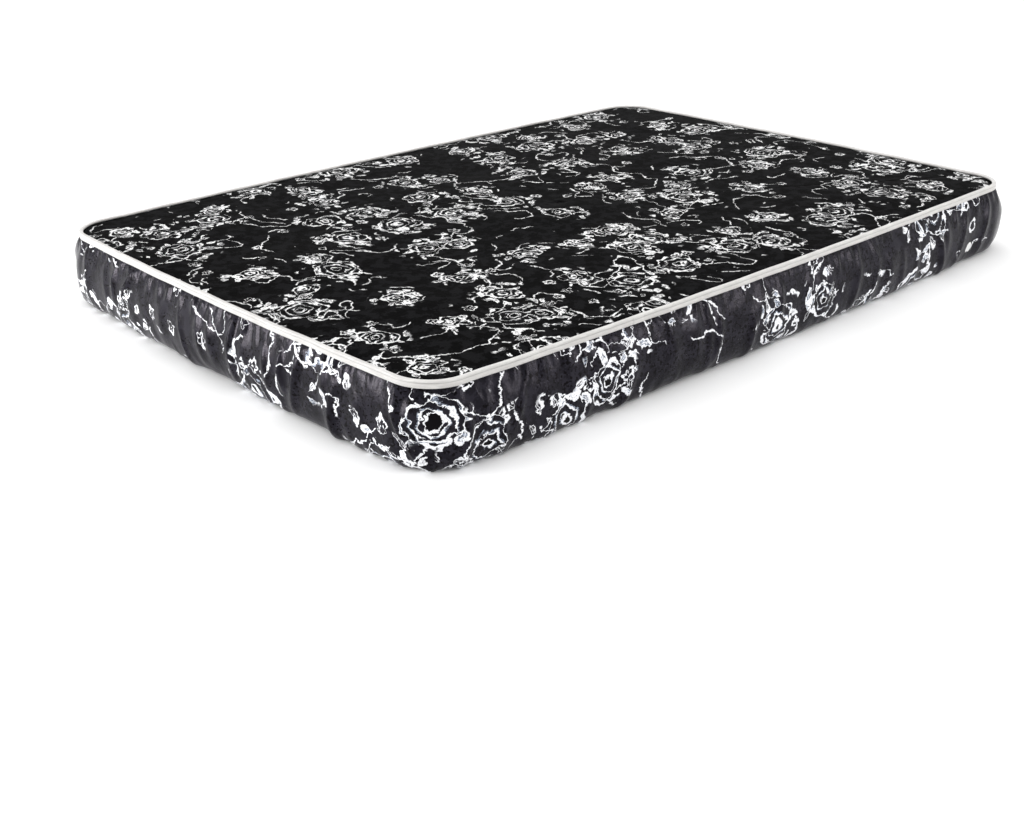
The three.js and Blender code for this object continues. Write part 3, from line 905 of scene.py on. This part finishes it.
plain_rows = side_rows(0, tape_bottom, wall_bottom)
tucked = [(WALL_LINE, wall_top, 0)]
near_seam = np.array([0.0001, 0.0008, 0.0016, 0.0026, 0.0040])
turned_in = np.array([0.00004, 0.00007])
strip_s = np.concatenate([END_SEAM + turned_in, END_SEAM + near_seam,
                          even(END_SEAM + 0.006, ROUND - 0.006, BORDER_STEP),
                          ROUND - near_seam[::-1], ROUND - turned_in[::-1]])
seam_allowance = np.zeros(len(strip_s))
seam_allowance[[0, 1, -2, -1]] = (0.007, 0.0035, 0.0035, 0.007)
strip, border_drop = border_piece("border_strip_satin", strip_s, [*tucked, *plain_rows], 0, seam_allowance)
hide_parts("border_strip")

slot_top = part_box("border_end_upper")[0].z
slot_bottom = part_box("border_end_lower")[1].z
hem_reach = belly - (widest_x - zip_high.x) + 0.0006
end_s = np.concatenate([near_seam, even(0.006, END_SEAM - 0.006, BORDER_STEP), END_SEAM - near_seam[::-1]])
bend = np.linspace(0, math.pi / 2, 5)
down_to_slot = side_rows(0, tape_bottom, slot_top + 0.002)
turn_in = [(belly - 0.002 + 0.002 * math.cos(a), slot_top + 0.002 - 0.002 * math.sin(a), 1) for a in bend]
upper_end, upper_drop = border_piece("border_end_upper_satin", end_s,
                                     [*tucked, *down_to_slot, *turn_in[1:], (hem_reach, slot_top, 1)], 0,
                                     hem=slot_top)
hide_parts("border_end_upper")

up_from_slot = side_rows(0, slot_bottom - 0.002, wall_bottom)
turn_out = [(belly - 0.002 + 0.002 * math.sin(a), slot_bottom - 0.002 + 0.002 * math.cos(a), 1) for a in bend]
lower_end, lower_drop = border_piece("border_end_lower_satin", end_s,
                                     [(hem_reach, slot_bottom, 1), *turn_out[:-1], *up_from_slot], upper_drop,
                                     hem=slot_bottom)
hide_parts("border_end_lower")
lower_drop - upper_drop


# ---- Top panel ----
# One piece of the same printed satin, stretched flat over the wadding and drawn down along
# # its edge by the seam under the binding tape. Its ground and brushed petals are given darker
# # and greyer than the border's, as painted shade.

PANEL_CLOTH = 0.0012
SEAM_DIP = 0.0010

panel_low, panel_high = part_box("top_panel")
panel_reach = -panel_low.x - BOW - half_x
rows = stations(even(0, ROUND, 0.009))
shares = np.concatenate([np.linspace(0.002, 0.90, 34)[:-1], np.linspace(0.90, 1, 30)])
flat = rings_inward(rows, panel_reach, 0, shares)
x, y = flat[:, :, 0], flat[:, :, 1]
inward = (1 - shares)[None, :] * np.hypot(*flat[:, -1].T)[:, None]
edge_s = np.broadcast_to(even(0, ROUND, 0.009)[:, None], inward.shape)
crown = 0.0035 * (1 - np.exp(-inward / 0.035)) - SEAM_DIP * np.exp(-inward / 0.012)
rng = np.random.default_rng(41)
drawn_in = np.zeros(inward.shape)
at = 0.0
while at < ROUND:
    at += rng.uniform(0.018, 0.070)
    lean = rng.normal(0, 0.3)
    reach = rng.uniform(0.02, 0.07)
    width = rng.uniform(0.005, 0.012)
    rise = rng.uniform(0.3, 1.3)
    apart = (edge_s - at + ROUND / 2) % ROUND - ROUND / 2 - lean * inward
    pull = 0.0011 * rise * np.exp(-(apart / width) ** 2 - (inward / reach) ** 2)
    drawn_in += pull * (1 - np.exp(-inward / 0.004))
waves = ripple(x, y, 0.42, 0.0013, seed=43) + ripple(x, y, 0.12, 0.0003, seed=44)
z = panel_high.z + crown + drawn_in + waves * (1 - np.exp(-inward / 0.08))
face = np.concatenate([flat, z[:, :, None]], 2)
# Painted shade: the top's ground and brushed petals are given darker and greyer than the border's, for the
# same satin facing up.
shaded_top_satin = printed_satin(
    "shaded_top_satin", (1.37, 1.0), 1.1, None, (0.0004, 0.0004, 0.0005), (0.0052, 0.0052, 0.0058),
    (0.86, 0.86, 0.86), (0.30, 0.30, 0.31), 0.0,
    Roughness=0.60, Specular_IOR_Level=0.01)
panel = add_cloth("top_panel_satin", face, face_normals(face), PANEL_CLOTH, flat)
panel.data.materials.append(shaded_top_satin)
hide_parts("top_panel")


# ---- Binding tape ----
# White satin tape, folded over the seam of the top panel and the border and lockstitched
# # through. It has fine lengthwise ribs, shade painted along the groove under its top rib, and
# # its tail laps over its start on one long side.

TAPE_RIB = 0.00045
TAPE_GROOVE = 0.0009
GROOVE_PLACE = 0.0107  # from the tape's lower edge, up round its section
LAP_LENGTH = 0.026
LAP_THICKNESS = 0.0010
LAP_PLACE = line_length[-1] - (half_x - CORNER) * 2 - 0.135 + 0.43
STITCH_LENGTH = 0.0032
STITCH_PITCH = 0.0042
THREAD = 0.00028

tape_satin, tree, shader = finish_of("white_binding_satin", Roughness=0.42, Sheen_Weight=0.2)
x, y = printed_place(tree)
cords = (y * 3000).sin()
threads = (x * 7000).sin()
# Lighter and darker lengthwise streaks in the tape's white, also raised a little in its relief.
tape_streaks = lumps([x, y * 3], 22, 4, 0.6)
streaked_tape_white = mixed(tape_streaks.ramp(0.35, 0.75) * 0.7 + cords * 0.1, (0.55, 0.535, 0.52), (0.70, 0.69, 0.67))
# Painted shade: a darker line along the groove under the tape's top rib, at GROOVE_PLACE up its section.
painted_groove_shade = drawn(y - GROOVE_PLACE, 0.0007)
tree.links.new(mixed(painted_groove_shade * 0.5, streaked_tape_white, (0.22, 0.215, 0.21)), shader.inputs["Base Color"])
raised(shader, cords * 0.6 + threads * 0.25 + tape_streaks, 0.0004, 0.7)

web_low = tape_bottom
web_high = tape_high.z
lip_reach = -0.008
lip_under = panel_high.z + 0.0012
web_out = TAPE_OUT
web_in = -TAPE_OUT
corner = np.linspace(0, math.pi / 2, 7)
band_top = web_high - 0.0044
outside = [(web_out - 0.0016 + 0.0009 * math.sin(math.pi * t) + TAPE_RIB * math.cos(t * 3 * 2 * math.pi),
            web_low + 0.0006 + t * (band_top - web_low - 0.0010)) for t in np.linspace(0, 1, 30)]
outside += [(web_out - 0.0016 - TAPE_GROOVE, band_top), (web_out - 0.0014 - TAPE_GROOVE, band_top + 0.0005)]
shoulder = [(web_out - 0.0034 + 0.0026 * math.cos(a), web_high - 0.0022 + 0.0022 * math.sin(a))
            for a in np.linspace(-0.9, math.pi / 2, 9)]
lip_middle = (web_high + lip_under) / 2
lip_half = (web_high - lip_under) / 2
lip_edge = [(lip_reach + 0.0016 - 0.0016 * math.sin(a), lip_middle + lip_half * math.cos(a))
            for a in np.linspace(0, math.pi, 9)]
inside = [(web_in, lip_under), (web_in, web_low + 0.0006), (web_in + 0.0006, web_low),
          (web_out - 0.0016, web_low)]
loop = np.array([*outside, *shoulder, *lip_edge, *inside])
loop_length = np.concatenate([[0], np.cumsum(np.hypot(*np.diff(loop, axis=0).T))])
lap_edges = [LAP_PLACE - LAP_LENGTH / 2, LAP_PLACE + LAP_LENGTH / 2]
lap_steps = [[e - 0.0003, e + 0.0003] for e in lap_edges]
tape_s = np.unique(np.concatenate([even(0, ROUND, 0.007)[:-1], *lap_steps]))
rows = stations(tape_s)
lap = ((tape_s > lap_edges[0]) & (tape_s < lap_edges[1])).astype(float)[:, None]
sway = ripple(tape_s, 0 * tape_s, 0.09, 0.0003, seed=51)[:, None]
outer = (np.arange(len(loop)) < len(outside) + len(shoulder))[None, :]
reach = loop[None, :, 0] + (LAP_THICKNESS * lap + sway) * outer
drop = loop[None, :, 1] + ripple(tape_s, 0 * tape_s, 0.14, 0.00035, seed=52)[:, None]
grid = np.stack([rows[:, None, 0] + rows[:, None, 2] * reach,
                 rows[:, None, 1] + rows[:, None, 3] * reach, drop], 2)
count, columns = grid.shape[:2]
face = np.array([(i * columns + j, (i + 1) % count * columns + j,
                  (i + 1) % count * columns + (j + 1) % columns, i * columns + (j + 1) % columns)
                 for i in range(count) for j in range(columns)])
binding = add_piece("binding_tape", grid, face)
corners = np.zeros(len(binding.data.loops), np.int64)
binding.data.loops.foreach_get("vertex_index", corners)
cut = np.stack(np.broadcast_arrays(tape_s[:, None], loop_length[None, :]), 2).reshape(-1, 2)
binding.data.uv_layers.new(name="cloth").data.foreach_set("uv", cut[corners].astype(np.float32).ravel())
binding.data.materials.append(tape_satin)
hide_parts("edge_tape")


def stitch_row(name, middles, runs, outs, length, thread, colour):
    """A row of lockstitches, each a short length of thread dipping in at both ends."""
    turns = np.linspace(0, 2 * math.pi, 7)[:-1]
    t = np.linspace(-1, 1, 7)
    girth = thread * np.sqrt((1 - t ** 4).clip(0.02))
    lift = thread * (1.1 - 1.6 * t ** 2)
    across = np.cross(outs, runs)
    spine = middles[:, None] + runs[:, None] * (t * length / 2)[None, :, None]
    spine = spine + outs[:, None] * lift[None, :, None]
    ring = (across[:, None, None] * np.cos(turns)[None, None, :, None]
            + outs[:, None, None] * np.sin(turns)[None, None, :, None]) * girth[None, :, None, None]
    points = (spine[:, :, None] + ring).reshape(len(middles), -1, 3)
    faces = [(i * 6 + j, i * 6 + (j + 1) % 6, i * 6 + 6 + (j + 1) % 6, i * 6 + 6 + j)
             for i in range(6) for j in range(6)]
    faces = [face for k in range(len(middles)) for face in
             [[c + k * 42 for c in f] for f in faces] + [[k * 42 + j for j in (5, 4, 3, 2, 1, 0)],
                                                         [k * 42 + 36 + j for j in range(6)]]]
    row = add_piece(name, points, faces)
    row.data.materials.append(colour)
    return row


thread_finish, tree, shader = finish_of("white_thread", Roughness=0.5, Sheen_Weight=0.3)
ply = (position(tree)[0] * 6000 + position(tree)[1] * 6000 + position(tree)[2] * 3000).sin()
tree.links.new(mixed(ply.ramp(-1, 1), (0.55, 0.54, 0.53), (0.80, 0.79, 0.77)), shader.inputs["Base Color"])
stitch_s = np.arange(0, ROUND, STITCH_PITCH)
rows = stations(stitch_s)
out = np.column_stack([rows[:, 2:4], np.zeros(len(rows))])
run = np.cross((0, 0, 1), out)
on_lap = ((stitch_s > lap_edges[0]) & (stitch_s < lap_edges[1])) * LAP_THICKNESS
face_at = web_out - 0.0016 + TAPE_RIB * 0.2 + np.interp(stitch_s, tape_s, sway[:, 0]) + on_lap
middle = np.column_stack([rows[:, :2] + rows[:, 2:4] * face_at[:, None],
                          web_low + 0.0022 + ripple(stitch_s, 0 * stitch_s, 0.14, 0.00035, seed=52)])
stitching = stitch_row("tape_stitching", middle, run, out, STITCH_LENGTH, THREAD, thread_finish)


# ---- Care label ----
# A blank woven satin label, folded once, with its cut ends caught in the seam under the
# tape on the zipped end. It hangs against the border and curls out a little at its fold.

LABEL_CLOTH = 0.0005

label_satin, tree, shader = finish_of("white_label_satin", Roughness=0.45, Sheen_Weight=0.2)
x, y = printed_place(tree)
weave = (x * 6000).sin() * 0.5 + (y * 9000).sin() * 0.5
aged = lumps([x, y], 60, 3)
label_colour = mixed(aged.ramp(0.3, 0.7), (0.70, 0.69, 0.66), (0.84, 0.83, 0.80))
tree.links.new(label_colour, shader.inputs["Base Color"])
raised(shader, weave, 0.00012)
low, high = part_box("care_label")
label_middle = (low.y + high.y) / 2 + half_y - CORNER
label_s = even(label_middle - (high.y - low.y) / 2, label_middle + (high.y - low.y) / 2, 0.002)
label_section, label_v = profile(side_rows(0, high.z, low.z), 0.0015)
places, normals = carried(stations(label_s), label_section)
border_v = label_v + (wall_top - tape_bottom)
rest_on = fold_height(label_s, border_v, border_folds) * (1 - np.exp(-(border_v / 0.007) ** 2))[None, :]
rest_on = np.pad(rest_on, ((8, 8), (0, 0)), "edge")
rest_on = np.max([rest_on[i:len(rest_on) - 8 + i] for i in range(9)], 0)
rest_on = np.mean([rest_on[i:len(rest_on) - 8 + i] for i in range(9)], 0)
hang = label_v / label_v[-1]
wave = 0.0006 * np.sin(label_s * 150)[:, None] * hang[None, :]
stand = rest_on.clip(0) + 0.0012 + 0.0030 * hang[None, :] ** 2 + wave
places = places + normals * stand[:, :, None]
cut = np.stack(np.broadcast_arrays(label_s[:, None], label_v[None, :]), 2)
label = add_cloth("blank_label", places, face_normals(places), LABEL_CLOTH, cut)
label.data.materials.append(label_satin)
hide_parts("care_label")
